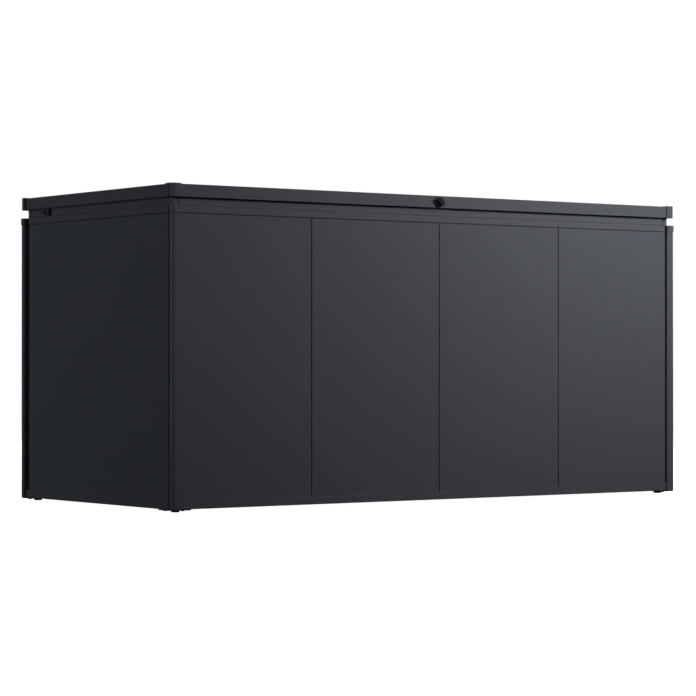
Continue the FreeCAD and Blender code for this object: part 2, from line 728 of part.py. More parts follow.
def stay_plate():
    """The plate outside the right collar run, in the gap under the lid."""
    rear = stay_point(STAY_REAR_DISTANCE)
    x0 = rear.x - STAY_SHEET
    front = rear.y - STAY_LENGTH
    z0 = rear.z - STAY_HEIGHT / 2
    plate = block(x0, rear.x, front, rear.y, z0, z0 + STAY_HEIGHT)
    lip = block(x0, rear.x + STAY_LIP, front, front + STAY_LIP_SHEET, z0, z0 + STAY_HEIGHT)
    return plate.fuse(lip).cut([stay_pin_hole()] + stay_bolt_holes())


def stay_fasteners():
    """The stay's pin with its spacer, and two small bolts that hold the plate to the collar."""
    face = stay_point(STAY_PIN_DISTANCE)
    wall = face - X_AXIS * (STAY_SHEET + SHEET)
    gusset = V(HALF_LENGTH - GUSSET_INSET, face.y, face.z)
    pin = cylinder(face, -X_AXIS, STAY_PIN_RADIUS, face.x - gusset.x + GUSSET_SHEET)
    washer = cylinder(face, X_AXIS, STAY_WASHER_RADIUS, STAY_WASHER)
    head = cylinder(face + X_AXIS * STAY_WASHER, X_AXIS, STAY_PIN_HEAD_RADIUS, STAY_PIN_HEAD)
    head = head.makeFillet(STAY_PIN_HEAD / 2, edges_at(head, X_AXIS, face.x + STAY_WASHER + STAY_PIN_HEAD))
    nut = cylinder(gusset - X_AXIS * GUSSET_SHEET, -X_AXIS, STAY_PIN_HEAD_RADIUS, STAY_PIN_HEAD)
    space = wall.x - gusset.x
    spacer = cylinder(gusset, X_AXIS, STAY_PIN_RADIUS + SPACER_WALL, space)
    spacer = spacer.cut(cylinder(gusset, X_AXIS, STAY_PIN_RADIUS + BOLT_CLEARANCE, space))
    return [pin.fuse([washer, head, nut]), spacer] + [stay_bolt(d) for d in STAY_BOLT_DISTANCES]


def stay_bolt(rear_distance):
    start = stay_point(rear_distance)
    wall = STAY_SHEET + SHEET
    shaft = cylinder(start, -X_AXIS, STAY_BOLT_RADIUS, wall)
    outer = cylinder(start, X_AXIS, STAY_BOLT_HEAD_RADIUS, STAY_BOLT_HEAD)
    inner = cylinder(start - X_AXIS * wall, -X_AXIS, STAY_BOLT_HEAD_RADIUS, STAY_BOLT_HEAD)
    return shaft.fuse([outer, inner])


def anchor_hole():
    start = V(HALF_LENGTH - GUSSET_INSET, ANCHOR.y, ANCHOR.z)
    return cylinder(start, -X_AXIS, ANCHOR_RADIUS + BOLT_CLEARANCE, GUSSET_SHEET)


def strut_gusset():
    """The right gusset: a plate from the collar down to the strut's anchor, folded at the rear."""
    x1 = HALF_LENGTH - GUSSET_INSET
    x0 = x1 - GUSSET_SHEET
    rear = HALF_DEPTH - PANEL_INSET - PANEL_DEPTH - CORNER_GAP - PANEL_SHEET
    top = Z_COLLAR_TOP - GUSSET_TOP_DROP
    front = HALF_DEPTH - STAY_PIN_DISTANCE - GUSSET_TOP_LENGTH / 2
    low = ANCHOR.z - GUSSET_BELOW_ANCHOR
    knee = ANCHOR.y - GUSSET_AHEAD_OF_ANCHOR
    flange_top = low + GUSSET_FLANGE_TOP
    fold = [(rear, low), (rear, flange_top)]
    free = [(front + GUSSET_TOP_LENGTH, top), (front, top), (front, Z_COLLAR), (knee, ANCHOR.z),
            (knee + GUSSET_AHEAD_OF_ANCHOR / 2, low)]
    radii = [0] * len(fold) + [GUSSET_RADIUS] * len(free)
    points = [V(x0, y, z) for y, z in fold + free]
    plate = solid_from(points, radii, V(GUSSET_SHEET, 0, 0))
    flange = block(x0, HALF_LENGTH - GUSSET_FLANGE_START, rear - GUSSET_SHEET, rear, low, flange_top)
    return plate.fuse(flange).cut([stay_pin_hole(), anchor_hole()])


def anchor_stud():
    """The lower strut pin, through the gusset, with its nut on the wall's side."""
    inner = HALF_LENGTH - GUSSET_INSET - GUSSET_SHEET
    start = V(inner, ANCHOR.y, ANCHOR.z)
    shaft = cylinder(start, X_AXIS, ANCHOR_RADIUS, GUSSET_SHEET)
    nut = cylinder(start + X_AXIS * GUSSET_SHEET, X_AXIS, ANCHOR_HEAD_RADIUS, ANCHOR_HEAD)
    return strut_pin(ANCHOR, inner).fuse([shaft, nut])


def lid_strut_bracket():
    """The plate that hangs from the lid's right frame, with the upper strut pin."""
    x1 = HALF_LENGTH - LID_FRAME_INSET - LID_FRAME_WIDTH
    x0 = x1 - LID_BRACKET_SHEET
    half = LID_BRACKET_WIDTH / 2
    low = LID_STUD.z - LID_BRACKET_DROP
    points = [V(x0, LID_STUD.y - half, low), V(x0, LID_STUD.y + half, low),
              V(x0, LID_STUD.y + half, Z_LID_INSIDE), V(x0, LID_STUD.y - half, Z_LID_INSIDE)]
    plate = solid_from(points, [LID_BRACKET_DROP, LID_BRACKET_DROP, 0, 0], V(LID_BRACKET_SHEET, 0, 0))
    return plate.fuse(strut_pin(LID_STUD, x0))


def both_sides(shapes):
    """Right-hand shapes together with their mirror images."""
    return [mirrored(s, x) for x in (True, False) for s in shapes]


def lock_point(outward, dx=0.0, dz=0.0):
    """A point at a distance outward from the lid's front face, measured from the lock's axis."""
    return V(LOCK_X + dx, LOCK_Y - outward, LOCK_Z + dz)


def lock_housing():
    """The bezel and barrel in the lid's front face, and the nut behind it."""
    bezel = cylinder(lock_point(0), -Y_AXIS, LOCK_BEZEL_RADIUS, LOCK_BEZEL)
    bezel = bezel.makeChamfer(LOCK_BEZEL / 2, edges_at(bezel, Y_AXIS, LOCK_Y - LOCK_BEZEL))
    reach = SHEET + LOCK_BARREL_REACH
    barrel = cylinder(lock_point(0), Y_AXIS, LOCK_BARREL_RADIUS, reach)
    bore = cylinder(lock_point(LOCK_BEZEL), Y_AXIS, LOCK_SHAFT_RADIUS + RUNNING_CLEARANCE, LOCK_BEZEL + reach)
    nut = cylinder(lock_point(-SHEET), Y_AXIS, LOCK_NUT_RADIUS, LOCK_NUT)
    nut = nut.cut(cylinder(lock_point(-SHEET), Y_AXIS, LOCK_BARREL_RADIUS, LOCK_NUT))
    return [bezel.fuse(barrel).cut(bore), nut]


def lock_knob():
    """The round knob with a raised grip that leans to the left, on a shaft through the housing."""
    back = LOCK_BEZEL + LOCK_END_GAP
    front = back + KNOB_LENGTH
    knob = cylinder(lock_point(back), -Y_AXIS, KNOB_RADIUS, KNOB_LENGTH)
    knob = knob.makeFillet(KNOB_EDGE, edges_at(knob, Y_AXIS, LOCK_Y - front))
    half = KNOB_GRIP_WIDTH / 2
    y0 = LOCK_Y - front
    for x0, x1 in ((-KNOB_RADIUS, -half), (half, KNOB_RADIUS)):
        side = block(LOCK_X + x0, LOCK_X + x1, y0, y0 + KNOB_GRIP_DEPTH,
                     LOCK_Z - KNOB_RADIUS, LOCK_Z + KNOB_RADIUS)
        knob = knob.cut(side.rotate(lock_point(0), Y_AXIS, -KNOB_GRIP_LEAN))
    shaft_length = back + SHEET + LOCK_BARREL_REACH + LOCK_END_GAP
    shaft = cylinder(lock_point(back), Y_AXIS, LOCK_SHAFT_RADIUS, shaft_length)
    well = cylinder(lock_point(front), Y_AXIS, KEY_PLUG_RADIUS + RUNNING_CLEARANCE, KEY_PLUG_LENGTH)
    return knob.fuse(shaft).cut(well)


def lock_cam():
    """The hooked cam at the end of the shaft, its arm towards +X and its hook down, and its screw."""
    behind = SHEET + LOCK_BARREL_REACH + LOCK_END_GAP
    sweep = V(0, CAM_SHEET, 0)
    half = CAM_ARM_WIDTH / 2
    plan = [(0, -half), (CAM_REACH - CAM_HOOK_WIDTH, -half), (CAM_REACH - CAM_HOOK_WIDTH, -CAM_HOOK_LENGTH),
            (CAM_REACH, -CAM_HOOK_LENGTH), (CAM_REACH, half), (0, half)]
    points = [lock_point(-behind, dx, dz) for dx, dz in plan]
    arm = solid_from(points, [0, 0, 0, 0, half, 0], sweep)
    hub = cylinder(lock_point(-behind), Y_AXIS, CAM_HUB_RADIUS, CAM_SHEET)
    screw = cylinder(lock_point(-behind - CAM_SHEET), Y_AXIS, CAM_SCREW_RADIUS, CAM_SCREW_HEAD)
    return [arm.fuse(hub), screw]


def key_plug():
    """The plug that the key turns inside the knob, with a plain keyway."""
    face = LOCK_BEZEL + LOCK_END_GAP + KNOB_LENGTH
    length = KEY_PLUG_LENGTH - RUNNING_CLEARANCE + KEY_PLUG_PROUD
    plug = cylinder(lock_point(face + KEY_PLUG_PROUD), Y_AXIS, KEY_PLUG_RADIUS, length)
    y0 = LOCK_Y - face - KEY_PLUG_PROUD
    return plug.cut(block(LOCK_X - KEYWAY_WIDTH / 2, LOCK_X + KEYWAY_WIDTH / 2, y0, y0 + KEYWAY_DEPTH,
                          LOCK_Z - KEYWAY_HEIGHT / 2, LOCK_Z + KEYWAY_HEIGHT / 2))


def lock_keeper():
    """The keeper on the collar's front face: a plate with a tab over the locked hook."""
    y1 = -HALF_DEPTH + COLLAR_INSET
    y0 = y1 - KEEPER_SHEET
    tab_top = LOCK_Z - KEEPER_TAB_DROP
    left = LOCK_X - KEEPER_TAB_FAR - KEEPER_SIDE
    right = LOCK_X + KEEPER_SIDE
    plate = block(left, right, y0, y1, tab_top - KEEPER_PLATE_HEIGHT, tab_top)
    tab = block(LOCK_X - KEEPER_TAB_FAR, LOCK_X - KEEPER_TAB_NEAR, y0 - KEEPER_TAB_REACH, y0,
                tab_top - KEEPER_SHEET, tab_top)
    return plate.fuse(tab)


def corner_plate():
    """The square plate under the front left corner, with holes for the foot and its screws."""
    low = CORNER_PLATE_INSET
    high = CORNER_PLATE_INSET + CORNER_PLATE_SIZE
    z0 = Z_BODY - CORNER_PLATE_SHEET
    points = [corner_point(dx, dy, z0) for dx, dy in ((low, low), (high, low), (high, high), (low, high))]
    radii = [CORNER_PLATE_RADIUS, POST_EDGE_RADIUS, CORNER_PLATE_INNER_RADIUS, POST_EDGE_RADIUS]
    plate = solid_from(points, radii, V(0, 0, CORNER_PLATE_SHEET))
    stud = FOOT_STUD_RADIUS + RUNNING_CLEARANCE
    holes = [cylinder(corner_point(FOOT_INSET, FOOT_INSET, z0), Z_AXIS, stud, CORNER_PLATE_SHEET)]
    for p in screw_points(z0):
        holes.append(cylinder(p, Z_AXIS, PLATE_SCREW_RADIUS + BOLT_CLEARANCE, CORNER_PLATE_SHEET))
    return plate.cut(holes)


def corner_screws():
    """The two screws that hold the front left corner plate to the rails."""
    z0 = Z_BODY - CORNER_PLATE_SHEET
    length = CORNER_PLATE_SHEET + PLATE_SCREW_REACH
    screws = []
    for p in screw_points(z0):
        head = cylinder(p, -Z_AXIS, PLATE_SCREW_HEAD_RADIUS, PLATE_SCREW_HEAD)
        screws.append(cylinder(p, Z_AXIS, PLATE_SCREW_RADIUS, length).fuse(head))
    return screws


def foot_nut():
    centre = corner_point(FOOT_INSET, FOOT_INSET, Z_BODY)
    reach = NUT_ACROSS_FLATS / 2 / math.cos(math.pi / NUT_SIDES)
    turns = [2 * math.pi * n / NUT_SIDES for n in range(NUT_SIDES)]
    points = [centre + V(reach * math.cos(a), reach * math.sin(a), 0) for a in turns]
    nut = solid_from(points, [0] * NUT_SIDES, V(0, 0, NUT_HEIGHT))
    return nut.cut(cylinder(centre, Z_AXIS, FOOT_STUD_RADIUS + RUNNING_CLEARANCE, NUT_HEIGHT))


def foot():
    """The front left foot: a round pad on a stud that turns in the plate and its nut."""
    centre = corner_point(FOOT_INSET, FOOT_INSET, 0)
    height = Z_BODY - CORNER_PLATE_SHEET - RUNNING_CLEARANCE
    pad = cylinder(centre, Z_AXIS, FOOT_RADIUS, height)
    pad = pad.makeFillet(FOOT_EDGE, edges_at(pad, Z_AXIS, 0) + edges_at(pad, Z_AXIS, height))
    return pad.fuse(cylinder(centre, Z_AXIS, FOOT_STUD_RADIUS, height + FOOT_STUD_TOP))


def export(name, solids):
    """Writes one node, moved so that the origin is the middle of the whole box's footprint."""
    moved = [s.translated(V(0, CENTRE_SHIFT, 0)) for s in solids]
    shape = moved[0] if len(moved) == 1 else Part.makeCompound(moved)
    shape.exportStep("parts/" + name + ".step")


def export_sides(name, pieces):
    for side, shape in pieces.items():
        export(name + "_" + side, [shape])


def export_corners(name, shape):
    for corner, copy in zip(("front_left", "front_right", "rear_left", "rear_right"), four_corners(shape)):
        export(name + "_" + corner, [copy])


def export_walls():
    export_corners("corner_post", corner_post())
    export("post_caps", four_corners(post_cap()))
    export_sides("bottom_rail", bottom_rails())
    export_sides("top_rail", rails(BAND_INSET, BAND_REACH, Z_BAND, Z_COLLAR))
    for n, panel in enumerate(front_panels(), start=1):
        export("front_panel_%d" % n, [panel])
        export("rear_panel_%d" % n, [mirrored(panel, across_y=True)])
    export("side_panel_left", [left_panel()])
    export("side_panel_right", [mirrored(left_panel(), across_x=True)])
    for name, solids in (("seam_bolts", seam_bolts()), ("seam_strips", seam_strips())):
        export(name, solids + [mirrored(s, across_y=True) for s in solids])
    export("floor_panel", [floor_panel()])
    export("floor_beams", floor_beams())


def export_rim():
    runs, corners = collar_pieces()
    export_sides("collar", runs)
    export("collar_corners", corners)
    export("rim_seal", [rim_seal()])
    export("lock_keeper", [lock_keeper()])
    export("hinge_base_leaves", at_hinges(hinge_base_leaf()))
    export("hinge_pins", at_hinges(hinge_pin()))


def export_lid():
    export("lid_skin", [lid_skin()])
    export("lid_corners", four_corners(lid_corner()))
    export("lid_frames", list(lid_frames().values()) + lid_ribs())
    export("hinge_lid_leaves", at_hinges(hinge_lid_leaf()))
    export("lid_strut_brackets", both_sides([lid_strut_bracket()]))
    export("lock_housing", lock_housing())
    export("lock_knob", [lock_knob()])
    export("lock_cam", lock_cam())
    export("key_plug", [key_plug()])


def export_struts():
    for side, left in (("left", True), ("right", False)):
        export("strut_gusset_" + side, [mirrored(strut_gusset(), left)])
        export("strut_cylinder_" + side, [mirrored(s, left) for s in strut_cylinder()])
        export("strut_rod_" + side, [mirrored(s, left) for s in strut_rod()])
    export("strut_anchor_studs", both_sides([anchor_stud()]))
    export("stay_plates", both_sides([stay_plate()]))
    export("stay_fasteners", both_sides(stay_fasteners()))


def export_feet():
    export("corner_plates", four_corners(corner_plate()))
    fasteners = corner_screws() + [foot_nut()]
    export("corner_fasteners", [copy for s in fasteners for copy in four_corners(s)])
    export_corners("foot", foot())


export_walls()
export_rim()
export_lid()
export_struts()
export_feet()
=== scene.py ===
"""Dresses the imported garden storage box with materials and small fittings, and sets the studio."""

import bpy
import bmesh
import json
import math
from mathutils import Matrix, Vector


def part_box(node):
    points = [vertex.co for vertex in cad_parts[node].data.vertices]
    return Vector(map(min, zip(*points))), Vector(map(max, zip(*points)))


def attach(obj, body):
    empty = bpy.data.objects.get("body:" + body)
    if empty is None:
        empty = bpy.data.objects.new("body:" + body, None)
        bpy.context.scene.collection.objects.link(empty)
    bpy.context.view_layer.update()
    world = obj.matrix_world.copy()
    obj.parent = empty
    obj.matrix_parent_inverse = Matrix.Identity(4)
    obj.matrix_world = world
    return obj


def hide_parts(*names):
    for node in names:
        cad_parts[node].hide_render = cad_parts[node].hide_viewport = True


# The photograph's camera in degrees and pixels, found from the vanishing points of a 696 by 696 frame
PHOTO_WIDTH = 696
FOCAL_PIXELS = 2580.0
SENSOR_WIDTH = 36.0
CAMERA_PLACE = (-4.6301, -6.3580, 0.4101)
CAMERA_YAW = -35.87
CAMERA_PITCH = 0.307
CAMERA_REACH = 100.0

# Colours are linear: a bluish anthracite paint, blacks and bare metals
PANEL_COLOUR = (0.034, 0.037, 0.044)
POST_COLOUR = PANEL_COLOUR
RAIL_COLOUR = (0.035, 0.038, 0.045)
LID_COLOUR = (0.0335, 0.0363, 0.0428)
BLACK_COLOUR = (0.0075, 0.0075, 0.0080)
STRUT_COLOUR = (0.0060, 0.0060, 0.0064)
PLASTIC_COLOUR = (0.0065, 0.0070, 0.0070)
RUBBER_COLOUR = (0.0080, 0.0080, 0.0080)
SEAL_COLOUR = (0.0100, 0.0100, 0.0105)
CHROME_COLOUR = (0.80, 0.81, 0.83)
ZINC_COLOUR = (0.58, 0.59, 0.61)
STEEL_COLOUR = (0.50, 0.50, 0.51)
ALUMINIUM_COLOUR = (0.66, 0.67, 0.69)
PAINT_SPECULAR = 0.2
EDGE_SOFTNESS = 0.0009

# How much of the paint's tone its specks give, shades of edges that are worn and carry a painted highlight, and of
# stains on metal
SPECK_SHARE = 0.4
RUBBED_AND_HIGHLIT_SHADE = 1.5
STAIN_SHADE = 0.62

# Edges that turn by more than this many degrees stay sharp on the fittings
SHARP_ANGLE = 38.0

# All sizes below are in metres. How far fittings sink into what they stand on
FITTING_SINK = 0.0002
SHADE_BEAD_SINK = 0.0003
PANEL_SHADE_BEAD_SINK = 0.0009

# Sheets and pieces of the box that the frame's boxes don't give
PANEL_FOLD = 0.0012
LEAF_SHEET = 0.002
KEEPER_SHEET = 0.002
GUSSET_SHEET = 0.003
COLLAR_CORNER = 0.002
PIN_HALF_LENGTH = 0.0368
BEAM_HALF_WIDTH = 0.030
BRACKET_FACE = 0.011

# The seal's section, as inset from its outer side and rise from its foot
SEAL_SECTION = [(0.0, 0.0), (0.0, 0.0009), (0.0005, 0.0011), (0.0013, 0.0007), (0.0017, 0.0009),
                (0.0020, 0.0019), (0.0028, 0.0027), (0.0040, 0.0030), (0.0052, 0.0027), (0.0060, 0.0019),
                (0.0063, 0.0009), (0.0067, 0.0007), (0.0075, 0.0011), (0.0080, 0.0009), (0.0080, 0.0)]
SEAL_LEAST_CORNER = 0.0005

# Thin dark beads, shaped as sealant, that put painted shade lines at the collar's foot and over the wall panels
SHADE_BEAD_HEIGHT = 0.0016
SHADE_BEAD_STEPS = 6
PANEL_SHADE_BEAD_PROUD = 0.0006
COLLAR_SHADE_BEAD_PROUD = 0.00045

# Beads pressed in the floor, and the floor's screws; a screw or a rivet is (radius, height)
BEAD_FIELDS = 4
BEADS_PER_FIELD = 3
BEAD_END = 0.060
BEAD_TAPER = 0.030
BEAD_WIDTH = 0.018
BEAD_HEIGHT = 0.003
BEAD_STEPS = 8
BEAD_END_RISE = 0.12
BEAD_LEAST_WIDTH = 0.4
BEAD_SECTION_STEPS = 6
FLOOR_SCREW_ROWS = 5
FLOOR_SCREW = (0.0038, 0.0018)

# Bolts through the panels' seams, with outlines as (height, radius)
SEAMS = 3
SEAM_WASHER_RADIUS = 0.0045
SEAM_BOLT_RADIUS = 0.0025
SEAM_WASHER = [(-0.0030, SEAM_BOLT_RADIUS), (0.0, SEAM_BOLT_RADIUS), (0.0, SEAM_WASHER_RADIUS),
               (0.0006, SEAM_WASHER_RADIUS), (0.0006, SEAM_BOLT_RADIUS)]
SEAM_BOLT_HEAD = [(0.0004, 0.0040), (0.0026, 0.0040), (0.0030, 0.0034)]

# Rivets of the hinges and the keeper: sizes, and places from the leaf's edges or the hinge's middle
LID_RIVET_DROPS = (0.0185, 0.0065)
LID_RIVETS_ACROSS = (-0.027, 0.027)
BASE_RIVETS_ACROSS = (-0.026, 0.0, 0.026)
BASE_RIVET_ROW = 0.0040
INNER_RIVET = (0.0032, 0.0014)
OUTER_RIVET = (0.0036, 0.0012)
BASE_RIVET = (0.0030, 0.0013)
KEEPER_RIVET = (0.0028, 0.0011)
KEEPER_RIVET_INSET = 0.0050
KEEPER_RIVET_RISE = 0.0060

# Bolts of the gussets and rivets of the struts' brackets
GUSSET_BOLT_RISES = (0.030, 0.100, 0.170)
FLANGE_BOLT_INSET = 0.024
GUSSET_WASHER = [(-0.0005, 0.0065), (0.0010, 0.0065), (0.0010, 0.0040)]
GUSSET_BOLT_HEAD = [(0.0005, 0.0055), (0.0046, 0.0055), (0.0052, 0.0047)]
BRACKET_RIVET = (0.0032, 0.0014)
BRACKET_RIVETS_ALONG = (-0.008, 0.008)
BRACKET_RIVET_RISE = 0.028

# Caps on the stays' pins
STAY_PIN_FROM_REAR = 0.0375
STAY_CAP_RADIUS = 0.0072
STAY_CAP = [(-0.0040, 0.92 * STAY_CAP_RADIUS), (-0.0036, STAY_CAP_RADIUS), (-0.0010, 0.96 * STAY_CAP_RADIUS),
            (0.0004, 0.72 * STAY_CAP_RADIUS), (0.0010, 0.30 * STAY_CAP_RADIUS)]

# Rings of the struts, with outlines as (height, radius) along the strut, or along the pin for the clip
TUBE_START = 0.022
TUBE_END = 0.214
TUBE_END_RING = [(-0.0034, 0.0089), (-0.0022, 0.0094), (-0.0008, 0.0094), (0.0004, 0.0086),
                 (0.0006, 0.0060), (-0.0010, 0.0060)]
TUBE_START_RING = [(-0.0004, 0.0078), (0.0008, 0.0093), (0.0024, 0.0094), (0.0034, 0.0089), (0.0030, 0.0070)]
ROD_WIPER = [(-0.0002, 0.0066), (0.0016, 0.0064), (0.0026, 0.0052), (0.0026, 0.00405), (-0.0002, 0.00405)]
EYE_CLIP = [(0.0, 0.0084), (0.0, 0.0090), (0.0005, 0.0093), (0.0027, 0.0093), (0.0032, 0.0090),
            (0.0032, 0.0084)]
EYE_CLIP_START = 0.0016

# Grip ridges round the lock's knob, behind its cut part, each a little lower at its front
KNOB_RADIUS = 0.014
KNOB_GRIP_DEPTH = 0.007
RIDGES = 44
RIDGE_LENGTH = 0.0036
RIDGE_HEIGHT = 0.0004
RIDGE_SINK = 0.0003
RIDGE_SETBACK = 0.0003
RIDGE_LEAD = 0.0004
RIDGE_SHRINK = 0.0002
RIDGE_WIDTH_SHARE = 0.55
RIDGE_CREST_SHARE = 0.35

# Rings round the feet: levels over the ground, half heights at foot and crest, and how far they stand out
FOOT_RING_LEVELS = (0.0021, 0.0038)
FOOT_RING_HALF = 0.0005
FOOT_RING_CREST_HALF = 0.0002
FOOT_RING_PROUD = 0.0003

# Studio: a round floor that curves up into a backdrop, and faint light that fades under the horizon
FLOOR_HUB = 0.05
FLOOR_RADIUS = 15.0
BACKDROP_CURVE = 5.0
BACKDROP_HEIGHT = 24.0
BACKDROP_CURVE_STEPS = 16
BACKDROP_STEPS = 96
FLOOR_GREY = (0.30, 0.30, 0.30)
WORLD_COLOUR = (0.94, 0.97, 1.0)
WORLD_ABOVE = 0.06
WORLD_BELOW = 0.0
WORLD_FADE = (-0.15, 0.10)

# Soft lights: where each stands, where it faces, its size and watts
WHITE = (1.0, 1.0, 1.0)
SOFTBOXES = {
    "softbox_front": {"place": (1.10, -1.95, 1.45), "aim": (0.6, -0.4, 1.78), "size": (0.6, 0.6),
                      "watts": 109.0, "colour": (1.0, 0.97, 0.92), "glossy": False},
    "softbox_fill": {"place": (-0.8, -1.87, 1.7), "aim": (0.0, -0.4, 0.4), "size": (2.0, 2.0),
                     "watts": 14.0, "glossy": False},
    "softbox_left": {"place": (-5.4, 7.6, 1.5), "aim": (-0.9, 0.0, 0.5), "size": (2.0, 2.0),
                     "watts": 660.0, "colour": (0.97, 1.0, 0.99), "glossy": False},
    "softbox_corner": {"place": (-3.48, -2.0, 0.5), "aim": (-0.93, -0.42, 0.5), "size": (0.4, 2.4),
                       "watts": 40.0, "diffuse": False},
    "softbox_top": {"place": (0.0, 1.6, 6.0), "aim": (0.0, 0.2, 0.8), "size": (3.0, 3.0), "watts": 160.0},
    "softbox_right": {"place": (5.4, 0.6, 1.6), "aim": (0.9, 0.0, 0.5), "size": (2.0, 2.0),
                      "watts": 70.0, "colour": (0.96, 0.98, 1.0)},
    "softbox_rear": {"place": (2.0, 5.0, 2.6), "aim": (0.0, 0.4, 0.6), "size": (3.0, 3.0),
                     "watts": 200.0, "glossy": False},
}

# The box's sides, with the way that each faces along x, and its corners
SIDES = {"left": -1, "right": 1}
CORNERS = ("front_left", "front_right", "rear_left", "rear_right")

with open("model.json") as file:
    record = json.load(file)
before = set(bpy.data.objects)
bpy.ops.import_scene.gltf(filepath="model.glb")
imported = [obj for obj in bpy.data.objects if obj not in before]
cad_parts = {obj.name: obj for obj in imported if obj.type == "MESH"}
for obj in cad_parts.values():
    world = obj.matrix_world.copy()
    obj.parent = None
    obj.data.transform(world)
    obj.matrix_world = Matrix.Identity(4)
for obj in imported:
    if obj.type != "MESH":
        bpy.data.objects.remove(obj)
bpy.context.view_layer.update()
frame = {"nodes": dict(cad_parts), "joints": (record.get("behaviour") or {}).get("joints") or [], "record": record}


# Node graphs

class Graph:
    """A material's node graph, with short calls for the nodes that are used here."""

    def __init__(self, name):
        self.material = bpy.data.materials.new(name)
        self.material.use_nodes = True
        self.tree = self.material.node_tree
        self.shader = self.tree.nodes["Principled BSDF"]
        self.place = self.node("ShaderNodeTexCoord").outputs["Object"]

    def node(self, kind, **settings):
        made = self.tree.nodes.new(kind)
        for key, value in settings.items():
            setattr(made, key, value)
        return made

    def link(self, start, end):
        self.tree.links.new(start, end)

    def feed(self, socket, value):
        """Gives a socket of the shader a value, or links an output to it."""
        if isinstance(value, (int, float)):
            self.shader.inputs[socket].default_value = value
        else:
            self.link(value, self.shader.inputs[socket])

    def stretched(self, scale):
        """The object's coordinates, stretched by scale along x, y and z."""
        mapping = self.node("ShaderNodeMapping")
        mapping.inputs["Scale"].default_value = scale
        self.link(self.place, mapping.inputs["Vector"])
        return mapping.outputs["Vector"]

    def noise(self, scale, detail=2.0, roughness=0.5, stretch=None):
        """A noise value from 0 to 1, with scale features per metre."""
        texture = self.node("ShaderNodeTexNoise")
        texture.inputs["Scale"].default_value = scale
        texture.inputs["Detail"].default_value = detail
        texture.inputs["Roughness"].default_value = roughness
        place = self.stretched(stretch) if stretch else self.place
        self.link(place, texture.inputs["Vector"])
        return texture.outputs["Fac"]

    def spread(self, value, low=0.0, high=1.0, start=0.25, end=0.75):
        """Maps a value from start..end to low..high."""
        mapped = self.node("ShaderNodeMapRange")
        mapped.inputs["From Min"].default_value = start
        mapped.inputs["From Max"].default_value = end
        mapped.inputs["To Min"].default_value = low
        mapped.inputs["To Max"].default_value = high
        self.link(value, mapped.inputs["Value"])
        return mapped.outputs["Result"]

    def times(self, first, second):
        """The product of an output and a number or another output."""
        made = self.node("ShaderNodeMath", operation="MULTIPLY")
        self.link(first, made.inputs[0])
        if isinstance(second, float):
            made.inputs[1].default_value = second
        else:
            self.link(second, made.inputs[1])
        return made.outputs["Value"]

    def mix(self, fac, first, second):
        """A colour between two colours, each a triple or an output."""
        made = self.node("ShaderNodeMix", data_type="RGBA")
        if isinstance(fac, float):
            made.inputs["Factor"].default_value = fac
        else:
            self.link(fac, made.inputs["Factor"])
        sockets = [s for s in made.inputs if s.type == "RGBA"]
        for socket, value in zip(sockets, (first, second)):
            if isinstance(value, tuple):
                socket.default_value = (*value, 1.0)
            else:
                self.link(value, socket)
        return next(s for s in made.outputs if s.type == "RGBA")

    def shades(self, fac, colour, darker, lighter):
        """A colour between a darker and a lighter shade of one colour."""
        return self.mix(fac, scaled(colour, darker), scaled(colour, lighter))

    def bump(self, height, distance, strength, normal=None):
        """A normal that follows height, which stands for distance metres, on top of another normal."""
        made = self.node("ShaderNodeBump")
        made.inputs["Strength"].default_value = strength
        made.inputs["Distance"].default_value = distance
        self.link(height, made.inputs["Height"])
        if normal is not None:
            self.link(normal, made.inputs["Normal"])
        return made.outputs["Normal"]

    def rounded_normal(self, radius):
        """The normal as if every edge were rounded by radius."""
        rounded = self.node("ShaderNodeBevel", samples=4)
        rounded.inputs["Radius"].default_value = radius
        return rounded.outputs["Normal"]

    def edges(self, rounded):
        """A mask that is 0 on flat faces and rises to 1 where the rounded normal turns at an edge."""
        flat = self.node("ShaderNodeNewGeometry").outputs["Normal"]
        dot = self.node("ShaderNodeVectorMath", operation="DOT_PRODUCT")
        self.link(rounded, dot.inputs[0])
        self.link(flat, dot.inputs[1])
        return self.spread(dot.outputs["Value"], low=1.0, high=0.0, start=0.80, end=0.995)


def scaled(colour, factor):
    return tuple(c * factor for c in colour)


# Materials

def powder_coat(name, colour, roughness, grain=0.00005):
    """Satin powder coat: fine orange peel, slight clouding, and edges painted a little lighter, partly as worn
    paint and partly as a painted highlight.
    """
    g = Graph(name)
    clouds = g.spread(g.noise(scale=1.7, detail=3.0))
    tint = g.shades(clouds, colour, darker=0.95, lighter=1.05)
    specks = g.spread(g.noise(scale=1300.0, detail=1.0), start=0.35, end=0.65)
    speckled = g.shades(specks, colour, darker=0.88, lighter=1.14)
    rounded = g.rounded_normal(EDGE_SOFTNESS)
    # Edges painted lighter in patches, partly as worn paint and partly as a painted highlight where they catch
    # light
    wear_and_highlight_patches = g.spread(g.noise(scale=38.0, detail=4.0), low=0.15, high=0.9, start=0.42, end=0.62)
    rubbed_and_highlit = g.times(g.edges(rounded), wear_and_highlight_patches)
    dull = g.spread(g.noise(scale=5.0, detail=4.0), low=roughness - 0.035, high=roughness + 0.035)
    g.feed("Base Color", g.mix(rubbed_and_highlit, g.mix(SPECK_SHARE, tint, speckled), scaled(colour, RUBBED_AND_HIGHLIT_SHADE)))
    g.feed("Roughness", dull)
    g.feed("Specular IOR Level", PAINT_SPECULAR)
    g.feed("Normal", g.bump(g.noise(scale=620.0), distance=grain, strength=0.55, normal=rounded))
    return g.material


